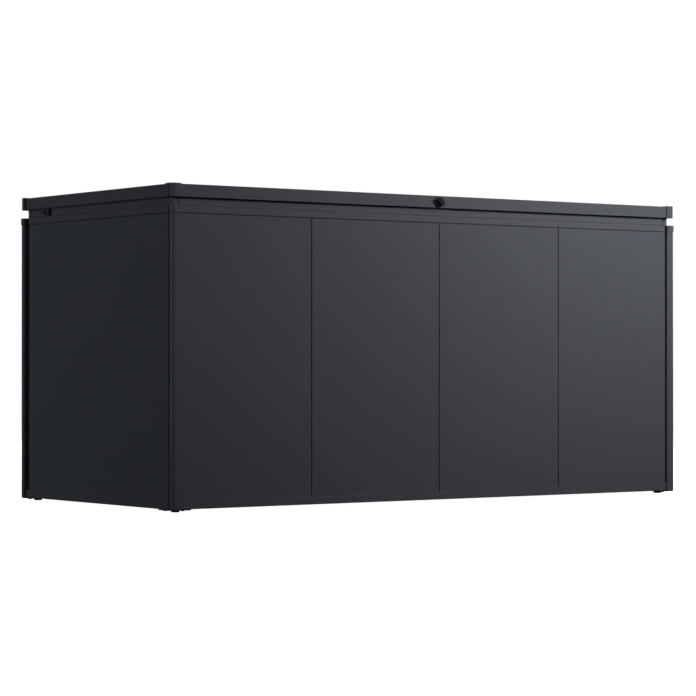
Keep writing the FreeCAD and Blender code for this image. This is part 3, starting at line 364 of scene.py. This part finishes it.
def metal(name, colour, roughness, brushed, stain=0.0):
    """Bare metal with fine brushing along one axis and a little uneven tone."""
    g = Graph(name)
    lines = g.noise(scale=1.0, detail=3.0, roughness=0.6, stretch=brushed)
    tone = g.shades(g.spread(lines), colour, darker=0.90, lighter=1.05)
    patches = g.spread(g.noise(scale=26.0, detail=4.0), start=0.35, end=0.7)
    g.feed("Metallic", 1.0)
    g.feed("Base Color", g.mix(g.times(patches, stain), tone, scaled(colour, STAIN_SHADE)))
    g.feed("Roughness", g.spread(lines, low=roughness - 0.07, high=roughness + 0.09))
    g.feed("Normal", g.bump(lines, distance=0.00002, strength=0.5))
    return g.material


def moulded(name, colour, roughness, scale, depth):
    """Moulded plastic or rubber with a fine pebbled skin."""
    g = Graph(name)
    cells = g.node("ShaderNodeTexVoronoi", feature="SMOOTH_F1")
    cells.inputs["Scale"].default_value = scale
    g.link(g.place, cells.inputs["Vector"])
    dust = g.spread(g.noise(scale=60.0, detail=5.0), start=0.4, end=0.7)
    dull = g.spread(g.noise(scale=90.0, detail=3.0), low=roughness - 0.05, high=roughness + 0.08)
    g.feed("Base Color", g.shades(dust, colour, darker=1.0, lighter=1.35))
    g.feed("Roughness", dull)
    g.feed("Normal", g.bump(cells.outputs["Distance"], distance=depth, strength=0.6))
    return g.material


def make_materials():
    """One material for each of the record's slots."""
    chrome = {"colour": CHROME_COLOUR, "brushed": (900.0, 900.0, 30.0)}
    zinc = {"colour": ZINC_COLOUR, "brushed": (300.0, 40.0, 300.0), "stain": 0.35}
    steel = {"colour": STEEL_COLOUR, "brushed": (40.0, 900.0, 900.0), "stain": 0.2}
    aluminium = {"colour": ALUMINIUM_COLOUR, "brushed": (12.0, 700.0, 700.0), "stain": 0.15}
    return {
        "panel_paint": powder_coat("panel_paint", PANEL_COLOUR, roughness=0.46),
        "post_paint": powder_coat("post_paint", POST_COLOUR, roughness=0.38),
        "frame_paint": powder_coat("frame_paint", RAIL_COLOUR, roughness=0.42),
        "lid_paint": powder_coat("lid_paint", LID_COLOUR, roughness=0.42),
        "hinge_black": powder_coat("hinge_black", BLACK_COLOUR, roughness=0.40, grain=0.00003),
        "strut_black": powder_coat("strut_black", STRUT_COLOUR, roughness=0.22, grain=0.00001),
        "strut_rod_chrome": metal("strut_rod_chrome", roughness=0.13, **chrome),
        "zinc_plate": metal("zinc_plate", roughness=0.40, **zinc),
        "pin_steel": metal("pin_steel", roughness=0.30, **steel),
        "floor_aluminium": metal("floor_aluminium", roughness=0.42, **aluminium),
        "lock_plastic": moulded("lock_plastic", PLASTIC_COLOUR, roughness=0.42, scale=1400.0, depth=0.00004),
        "black_rubber": moulded("black_rubber", RUBBER_COLOUR, roughness=0.72, scale=900.0, depth=0.00008),
        "seal_rubber": moulded("seal_rubber", SEAL_COLOUR, roughness=0.66, scale=1100.0, depth=0.00005),
    }


MATERIALS = make_materials()


def dress_nodes():
    """Gives every CAD node the material of its slot."""
    for part in frame["record"]["subparts"]:
        node = frame["nodes"][part["node"]]
        node.data.materials.clear()
        node.data.materials.append(MATERIALS[part["material_slot"]])
        node.data.shade_smooth()


# Fittings, which ride on the bodies of the nodes that carry them

def joint_place(name):
    """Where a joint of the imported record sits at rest."""
    return Vector(next(j["pos_m"] for j in frame["joints"] if j["name"] == name))


def add_piece(name, mesh, slot, body, replaced=()):
    """Makes a visible piece from a bmesh, with the finish of slot, that rides on body."""
    bmesh.ops.recalc_face_normals(mesh, faces=mesh.faces)
    data = bpy.data.meshes.new(name)
    mesh.to_mesh(data)
    mesh.free()
    data.shade_smooth()
    data.set_sharp_from_angle(angle=math.radians(SHARP_ANGLE))
    data.materials.append(MATERIALS[slot])
    piece = bpy.data.objects.new(name, data)
    bpy.context.scene.collection.objects.link(piece)
    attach(piece, body)
    if replaced:
        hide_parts(*replaced)


def join_rings(mesh, rings, closed):
    """Joins rings of points with faces, and caps the two ends unless the form is closed."""
    following = rings[1:] + rings[:1] if closed else rings[1:]
    for low, high in zip(rings, following):
        for n in range(len(low)):
            m = (n + 1) % len(low)
            mesh.faces.new((low[n], low[m], high[m], high[n]))
    if not closed:
        mesh.faces.new(list(reversed(rings[0])))
        mesh.faces.new(rings[-1])


def turned(mesh, profile, place, axis, steps=24, closed=False):
    """Adds a turned form: profile holds (height, radius) along axis from place, closed for a ring."""
    turn = Vector((0, 0, 1)).rotation_difference(axis).to_matrix()
    rings = []
    for height, radius in profile:
        ring = []
        for n in range(steps):
            angle = 2 * math.pi * n / steps
            point = Vector((radius * math.cos(angle), radius * math.sin(angle), height))
            ring.append(mesh.verts.new(place + turn @ point))
        rings.append(ring)
    join_rings(mesh, rings, closed)


def rivet_profile(radius, height):
    """A low dome with a small flat, sunk a little into the sheet that it stands on."""
    return [(-FITTING_SINK, radius), (0.0, radius), (0.45 * height, 0.90 * radius),
            (0.80 * height, 0.62 * radius), (height, 0.25 * radius)]


def screw_profile(radius, height):
    """A pan head with a round recess in its middle."""
    return [(-FITTING_SINK, radius), (0.0, radius), (0.55 * height, 0.96 * radius), (height, 0.72 * radius),
            (height, 0.42 * radius), (0.35 * height, 0.30 * radius)]


def add_heads(name, profile, places, axis, slot, body, steps=20):
    """One piece with the same turned head at every place."""
    mesh = bmesh.new()
    for place in places:
        turned(mesh, profile, Vector(place), Vector(axis), steps)
    add_piece(name, mesh, slot, body)


def hexagon_bolt(mesh, washer, head, place, axis):
    """Adds a bolt's washer and its hexagon head."""
    turned(mesh, washer, place, axis)
    turned(mesh, head, place, axis, steps=6)


def plan_ring(mesh, half_x, half_y, centre_y, radius, z, corner_steps=5):
    """A closed ring of points round a rectangle with rounded corners, at height z."""
    ring = []
    for corner, (sx, sy) in enumerate(((1, 1), (-1, 1), (-1, -1), (1, -1))):
        for n in range(corner_steps):
            angle = math.pi / 2 * (corner + n / (corner_steps - 1))
            x = sx * (half_x - radius) + radius * math.cos(angle)
            y = centre_y + sy * (half_y - radius) + radius * math.sin(angle)
            ring.append(mesh.verts.new((x, y, z)))
    return ring


def add_rim_seal():
    """The seal on the collar: a bulb with a groove and a lip on each side, instead of a plain strip."""
    low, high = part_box("rim_seal")
    half_y = (high.y - low.y) / 2
    centre_y = (high.y + low.y) / 2
    mesh = bmesh.new()
    rings = []
    for inset, rise in SEAL_SECTION:
        radius = max(COLLAR_CORNER - inset, SEAL_LEAST_CORNER)
        rings.append(plan_ring(mesh, high.x - inset, half_y - inset, centre_y, radius, low.z + rise))
    join_rings(mesh, rings, closed=True)
    add_piece("rim_seal_bulb", mesh, "seal_rubber", "base", ["rim_seal"])


def add_collar_shade_bead():
    """A thin dark bead along the collar's foot, shaped as sealant, that puts a painted shade line there."""
    half_x = -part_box("collar_left")[0].x
    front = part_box("collar_front")[0]
    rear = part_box("collar_rear")[1]
    half_y = (rear.y - front.y) / 2
    centre_y = (rear.y + front.y) / 2
    proud = COLLAR_SHADE_BEAD_PROUD
    height = SHADE_BEAD_HEIGHT
    section = [(-SHADE_BEAD_SINK, 0.0), (proud, 0.0), (proud, 0.8 * height), (0.6 * proud, height),
               (-SHADE_BEAD_SINK, height)]
    mesh = bmesh.new()
    rings = [plan_ring(mesh, half_x + out, half_y + out, centre_y, COLLAR_CORNER + out, front.z + rise)
             for out, rise in section]
    join_rings(mesh, rings, closed=True)
    add_piece("collar_shade_bead", mesh, "seal_rubber", "base")


def panel_shade_bead_section():
    """Reach and drop of the points round one dark bead of painted shade over the panels, half round at the front.
    """
    points = [(-PANEL_SHADE_BEAD_SINK, 0.0)]
    for n in range(SHADE_BEAD_STEPS + 1):
        angle = math.pi * n / SHADE_BEAD_STEPS
        points.append((PANEL_SHADE_BEAD_PROUD * math.sin(angle), SHADE_BEAD_HEIGHT / 2 * (1 - math.cos(angle))))
    return points + [(-PANEL_SHADE_BEAD_SINK, SHADE_BEAD_HEIGHT)]


def add_panel_shade_bead():
    """A dark bead, shaped as sealant, in the groove between the wall panels and the rails over them, that paints
    the shade under the rails.
    """
    front_low, front_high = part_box("front_panel_1")[0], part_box("front_panel_4")[1]
    rear_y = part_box("rear_panel_1")[1].y
    left_low, left_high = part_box("side_panel_left")
    right_low, right_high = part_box("side_panel_right")
    runs = [((front_low.x, front_low.y), (front_high.x, front_low.y), (0, -1)),
            ((front_low.x, rear_y), (front_high.x, rear_y), (0, 1)),
            ((left_low.x, left_low.y), (left_low.x, left_high.y), (-1, 0)),
            ((right_high.x, right_low.y), (right_high.x, right_high.y), (1, 0))]
    mesh = bmesh.new()
    for start, end, (out_x, out_y) in runs:
        rings = [[mesh.verts.new((x + out_x * reach, y + out_y * reach, front_high.z - drop))
                  for reach, drop in panel_shade_bead_section()] for x, y in (start, end)]
        join_rings(mesh, rings, closed=False)
    add_piece("panel_shade_bead", mesh, "seal_rubber", "base")


def bead_stations(length):
    """How far along a bead its rings stand, and how high it is there as a share of its full height."""
    taper = [(0.0, BEAD_END_RISE), (BEAD_TAPER / 2, math.sin(math.pi / 4)), (BEAD_TAPER, 1.0)]
    middle = [(length * n / BEAD_STEPS, 1.0) for n in range(len(taper), BEAD_STEPS - len(taper) + 1)]
    return taper + middle + [(length - along, rise) for along, rise in reversed(taper)]


def bead(mesh, x, y0, y1, z):
    """Adds one bead along y, half round in section and tapered to almost nothing at both ends."""
    rings = []
    for along, rise in bead_stations(y1 - y0):
        half_width = BEAD_WIDTH / 2 * (BEAD_LEAST_WIDTH + (1 - BEAD_LEAST_WIDTH) * rise)
        ring = []
        for k in range(BEAD_SECTION_STEPS + 1):
            angle = math.pi * k / BEAD_SECTION_STEPS
            height = BEAD_HEIGHT * rise * math.sin(angle) - FITTING_SINK
            ring.append(mesh.verts.new((x + half_width * math.cos(angle), y0 + along, z + height)))
        rings.append(ring)
    join_rings(mesh, rings, closed=False)


def add_floor_beads():
    """Low rounded beads pressed in the floor between the beams, from front to back."""
    low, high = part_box("floor_panel")
    pitch = (high.x - low.x) / BEAD_FIELDS
    mesh = bmesh.new()
    for field in range(BEAD_FIELDS):
        for n in range(BEADS_PER_FIELD):
            x = low.x + pitch * (field + (n + 1) / (BEADS_PER_FIELD + 1))
            bead(mesh, x, low.y + BEAD_END, high.y - BEAD_END, high.z)
    add_piece("floor_beads", mesh, "floor_aluminium", "base")


def add_floor_screws():
    """Pan-head screws that hold the floor to its beams."""
    low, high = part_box("floor_panel")
    edge_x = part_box("floor_beams")[1].x - BEAM_HALF_WIDTH
    pitch = (high.y - low.y) / FLOOR_SCREW_ROWS
    places = [(x, low.y + pitch * (row + 0.5), high.z)
              for x in (-edge_x, 0.0, edge_x) for row in range(FLOOR_SCREW_ROWS)]
    add_heads("floor_screws", screw_profile(*FLOOR_SCREW), places, (0, 0, 1), "zinc_plate", "base")


def add_seam_bolts():
    """Hexagon heads with washers on both sides of each seam, instead of the plain heads."""
    low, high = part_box("seam_bolts")
    rows_z = (low.z + SEAM_WASHER_RADIUS, (low.z + high.z) / 2, high.z - SEAM_WASHER_RADIUS)
    rows_y = (low.y + SEAM_WASHER_RADIUS, high.y - SEAM_WASHER_RADIUS)
    mesh = bmesh.new()
    for n in range(1, SEAMS + 1):
        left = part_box("front_panel_%d" % n)[1].x - PANEL_FOLD
        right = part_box("front_panel_%d" % (n + 1))[0].x + PANEL_FOLD
        for x, way in ((left, -1), (right, 1)):
            for y in rows_y:
                for z in rows_z:
                    hexagon_bolt(mesh, SEAM_WASHER, SEAM_BOLT_HEAD, Vector((x, y, z)), Vector((way, 0, 0)))
    add_piece("seam_bolt_heads", mesh, "zinc_plate", "base", ["seam_bolts"])


def hinge_middles():
    """The x of each hinge's middle, from the box round all three pins."""
    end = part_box("hinge_pins")[1].x - PIN_HALF_LENGTH
    return (-end, 0.0, end)


def add_hinge_rivets():
    """Rivets through the hinge leaves: inside and outside the lid's rear face, and on the rear rail."""
    lid_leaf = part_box("hinge_lid_leaves")[1]
    lid_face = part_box("lid_skin")[1].y
    spots = [(x + dx, lid_leaf.z - drop)
             for x in hinge_middles() for dx in LID_RIVETS_ACROSS for drop in LID_RIVET_DROPS]
    inner = [(x, lid_leaf.y - LEAF_SHEET, z) for x, z in spots]
    outer = [(x, lid_face, z) for x, z in spots]
    base_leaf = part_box("hinge_base_leaves")[0]
    base = [(x + dx, base_leaf.y + BASE_RIVET_ROW, base_leaf.z + LEAF_SHEET)
            for x in hinge_middles() for dx in BASE_RIVETS_ACROSS]
    add_heads("hinge_rivets_inner", rivet_profile(*INNER_RIVET), inner, (0, -1, 0), "hinge_black", "lid")
    add_heads("hinge_rivets_outer", rivet_profile(*OUTER_RIVET), outer, (0, 1, 0), "lid_paint", "lid")
    add_heads("hinge_rivets_base", rivet_profile(*BASE_RIVET), base, (0, 0, 1), "hinge_black", "base")


def add_keeper_rivets():
    """Two rivets that hold the lock's keeper to the collar."""
    low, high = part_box("lock_keeper")
    places = [(x, high.y - KEEPER_SHEET, low.z + KEEPER_RIVET_RISE)
              for x in (low.x + KEEPER_RIVET_INSET, high.x - KEEPER_RIVET_INSET)]
    add_heads("keeper_rivets", rivet_profile(*KEEPER_RIVET), places, (0, -1, 0), "frame_paint", "base")


def add_gusset_fixings():
    """Hexagon bolts on the gussets' flanges, and rivets on the plates that hold the struts' upper ends."""
    forward = Vector((0, -1, 0))
    for side, way in SIDES.items():
        low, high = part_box("strut_gusset_" + side)
        x = way * (max(abs(low.x), abs(high.x)) - FLANGE_BOLT_INSET)
        mesh = bmesh.new()
        for rise in GUSSET_BOLT_RISES:
            place = Vector((x, high.y - GUSSET_SHEET, low.z + rise))
            hexagon_bolt(mesh, GUSSET_WASHER, GUSSET_BOLT_HEAD, place, forward)
        add_piece("gusset_bolts_" + side, mesh, "zinc_plate", "base")
        stud = joint_place("strut_%s_rod_turn" % side)
        places = [(stud.x + way * BRACKET_FACE, stud.y + dy, stud.z + BRACKET_RIVET_RISE)
                  for dy in BRACKET_RIVETS_ALONG]
        add_heads("bracket_rivets_" + side, rivet_profile(*BRACKET_RIVET), places, (-way, 0, 0),
                  "zinc_plate", "lid")


def add_stay_caps():
    """A dark domed cap over the head of each stay's pin."""
    plates_low, plates_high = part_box("stay_plates")
    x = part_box("stay_fasteners")[1].x
    y = plates_high.y - STAY_PIN_FROM_REAR
    z = (plates_low.z + plates_high.z) / 2
    for side, way in SIDES.items():
        add_heads("stay_cap_" + side, STAY_CAP, [(way * x, y, z)], (way, 0, 0), "lock_plastic", "base",
                  steps=28)


def add_strut_details():
    """Rolled end, rod wiper and base cap on each tube, and a clip round each eye."""
    for side in SIDES:
        anchor = joint_place("strut_%s_swing" % side)
        stud = joint_place("strut_%s_rod_turn" % side)
        line = (stud - anchor).normalized()
        tube = "strut_tube_" + side
        start = anchor + line * TUBE_START
        end = anchor + line * TUBE_END
        mesh = bmesh.new()
        turned(mesh, TUBE_END_RING, end, line, steps=32, closed=True)
        turned(mesh, TUBE_START_RING, start, line, steps=32, closed=True)
        add_piece("strut_end_rings_" + side, mesh, "strut_black", tube)
        mesh = bmesh.new()
        turned(mesh, ROD_WIPER, end, line, steps=28, closed=True)
        add_piece("strut_wiper_" + side, mesh, "seal_rubber", tube)
        add_eye_clip("strut_lower_clip_" + side, anchor, tube)
        add_eye_clip("strut_upper_clip_" + side, stud, "strut_piston_" + side)


def add_eye_clip(name, centre, body):
    """A clip round a strut's eye, which is turned about the pin's line along x."""
    mesh = bmesh.new()
    start = centre - Vector((EYE_CLIP_START, 0, 0))
    turned(mesh, EYE_CLIP, start, Vector((1, 0, 0)), steps=32, closed=True)
    add_piece(name, mesh, "pin_steel", body)


def add_knob_ridges():
    """Fine grip ridges round the knob's rim, behind the part that is cut away for the fingers."""
    centre = joint_place("lock_turn")
    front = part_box("lock_knob")[0].y + KNOB_GRIP_DEPTH + RIDGE_SETBACK
    half = math.pi / RIDGES * RIDGE_WIDTH_SHARE
    crest = half * RIDGE_CREST_SHARE
    foot_radius = KNOB_RADIUS - RIDGE_SINK
    crest_radius = KNOB_RADIUS + RIDGE_HEIGHT
    mesh = bmesh.new()
    for n in range(RIDGES):
        angle = 2 * math.pi * n / RIDGES
        rings = []
        for y, shrink in ((front, RIDGE_SHRINK), (front + RIDGE_LEAD, 0.0), (front + RIDGE_LENGTH, 0.0)):
            top = crest_radius - shrink
            corners = ((angle - half, foot_radius), (angle - crest, top), (angle + crest, top),
                       (angle + half, foot_radius))
            rings.append([mesh.verts.new((centre.x + r * math.cos(a), y, centre.z + r * math.sin(a)))
                          for a, r in corners])
        join_rings(mesh, rings, closed=False)
    add_piece("knob_ridges", mesh, "lock_plastic", "lock")


def add_foot_rings():
    """Two raised rings round each foot's pad."""
    for corner in CORNERS:
        low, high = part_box("foot_" + corner)
        centre = Vector(((low.x + high.x) / 2, (low.y + high.y) / 2, 0.0))
        foot = (high.x - low.x) / 2 - FITTING_SINK
        crest = (high.x - low.x) / 2 + FOOT_RING_PROUD
        mesh = bmesh.new()
        for level in FOOT_RING_LEVELS:
            profile = [(level - FOOT_RING_HALF, foot), (level - FOOT_RING_CREST_HALF, crest),
                       (level + FOOT_RING_CREST_HALF, crest), (level + FOOT_RING_HALF, foot)]
            turned(mesh, profile, centre, Vector((0, 0, 1)), steps=36, closed=True)
        add_piece("foot_rings_" + corner, mesh, "black_rubber", "foot_%s_body" % corner)


def add_fittings():
    """All the small pieces that only this scene has."""
    add_rim_seal()
    add_collar_shade_bead()
    add_panel_shade_bead()
    add_floor_beads()
    add_floor_screws()
    add_seam_bolts()
    add_hinge_rivets()
    add_keeper_rivets()
    add_gusset_fixings()
    add_stay_caps()
    add_strut_details()
    add_knob_ridges()
    add_foot_rings()


# Studio

def floor_material():
    """A matt pale finish that glows white to the camera."""
    material = bpy.data.materials.new("studio_floor")
    material.use_nodes = True
    shader = material.node_tree.nodes["Principled BSDF"]
    shader.inputs["Base Color"].default_value = (*FLOOR_GREY, 1.0)
    shader.inputs["Roughness"].default_value = 0.9
    shader.inputs["Specular IOR Level"].default_value = 0.0
    shader.inputs["Emission Color"].default_value = (*WHITE, 1.0)
    shader.inputs["Emission Strength"].default_value = 1.0
    return material


def add_floor():
    """A round floor that curves up into a plain backdrop, and neither lights the box nor shows in it."""
    outline = [(0.0, FLOOR_HUB), (0.0, FLOOR_RADIUS)]
    for n in range(1, BACKDROP_CURVE_STEPS + 1):
        angle = math.pi / 2 * n / BACKDROP_CURVE_STEPS
        rise = BACKDROP_CURVE * (1 - math.cos(angle))
        outline.append((rise, FLOOR_RADIUS + BACKDROP_CURVE * math.sin(angle)))
    outline.append((BACKDROP_HEIGHT, FLOOR_RADIUS + BACKDROP_CURVE))
    shape = bmesh.new()
    turned(shape, outline, Vector((0, 0, 0)), Vector((0, 0, 1)), steps=BACKDROP_STEPS)
    top_cap = max(shape.faces, key=lambda face: face.calc_center_median().z)
    shape.faces.remove(top_cap)
    mesh = bpy.data.meshes.new("studio_floor")
    shape.to_mesh(mesh)
    shape.free()
    mesh.shade_smooth()
    mesh.materials.append(floor_material())
    floor = bpy.data.objects.new("studio_floor", mesh)
    floor.visible_glossy = False
    floor.visible_diffuse = False
    bpy.context.scene.collection.objects.link(floor)


def add_softbox(name, place, aim, size, watts, colour=WHITE, glossy=True, diffuse=True):
    """A rectangular soft light at place that faces aim, and that the camera doesn't see."""
    light = bpy.data.lights.new(name, "AREA")
    light.shape = "RECTANGLE"
    light.size, light.size_y = size
    light.energy = watts
    light.color = colour
    box = bpy.data.objects.new(name, light)
    box.location = place
    box.rotation_euler = (Vector(aim) - Vector(place)).to_track_quat("-Z", "Y").to_euler()
    box.visible_camera = False
    box.visible_glossy = glossy
    box.visible_diffuse = diffuse
    bpy.context.scene.collection.objects.link(box)


def set_world():
    """Faint even light from over the horizon, which fades out under it."""
    world = bpy.data.worlds.new("studio_world")
    bpy.context.scene.world = world
    world.use_nodes = True
    tree = world.node_tree
    background = tree.nodes["Background"]
    background.inputs["Color"].default_value = (*WORLD_COLOUR, 1.0)
    direction = tree.nodes.new("ShaderNodeTexCoord").outputs["Generated"]
    split = tree.nodes.new("ShaderNodeSeparateXYZ")
    tree.links.new(direction, split.inputs["Vector"])
    fade = tree.nodes.new("ShaderNodeMapRange")
    fade_start, fade_end = WORLD_FADE
    fade.inputs["From Min"].default_value = fade_start
    fade.inputs["From Max"].default_value = fade_end
    fade.inputs["To Min"].default_value = WORLD_BELOW
    fade.inputs["To Max"].default_value = WORLD_ABOVE
    tree.links.new(split.outputs["Z"], fade.inputs["Value"])
    tree.links.new(fade.outputs["Result"], background.inputs["Strength"])


def add_studio():
    """The floor with its backdrop, the faint light all round and the soft lights."""
    add_floor()
    set_world()
    for name, settings in SOFTBOXES.items():
        add_softbox(name, **settings)


def add_camera():
    """The photograph's camera."""
    data = bpy.data.cameras.new("camera")
    data.sensor_width = SENSOR_WIDTH
    data.lens = FOCAL_PIXELS / PHOTO_WIDTH * SENSOR_WIDTH
    data.clip_end = CAMERA_REACH
    camera = bpy.data.objects.new("camera", data)
    camera.location = CAMERA_PLACE
    camera.rotation_euler = (math.radians(90.0 + CAMERA_PITCH), 0.0, math.radians(CAMERA_YAW))
    bpy.context.scene.collection.objects.link(camera)
    bpy.context.scene.camera = camera


bpy.context.scene.view_settings.view_transform = "Standard"
dress_nodes()
add_fittings()
add_camera()
add_studio()
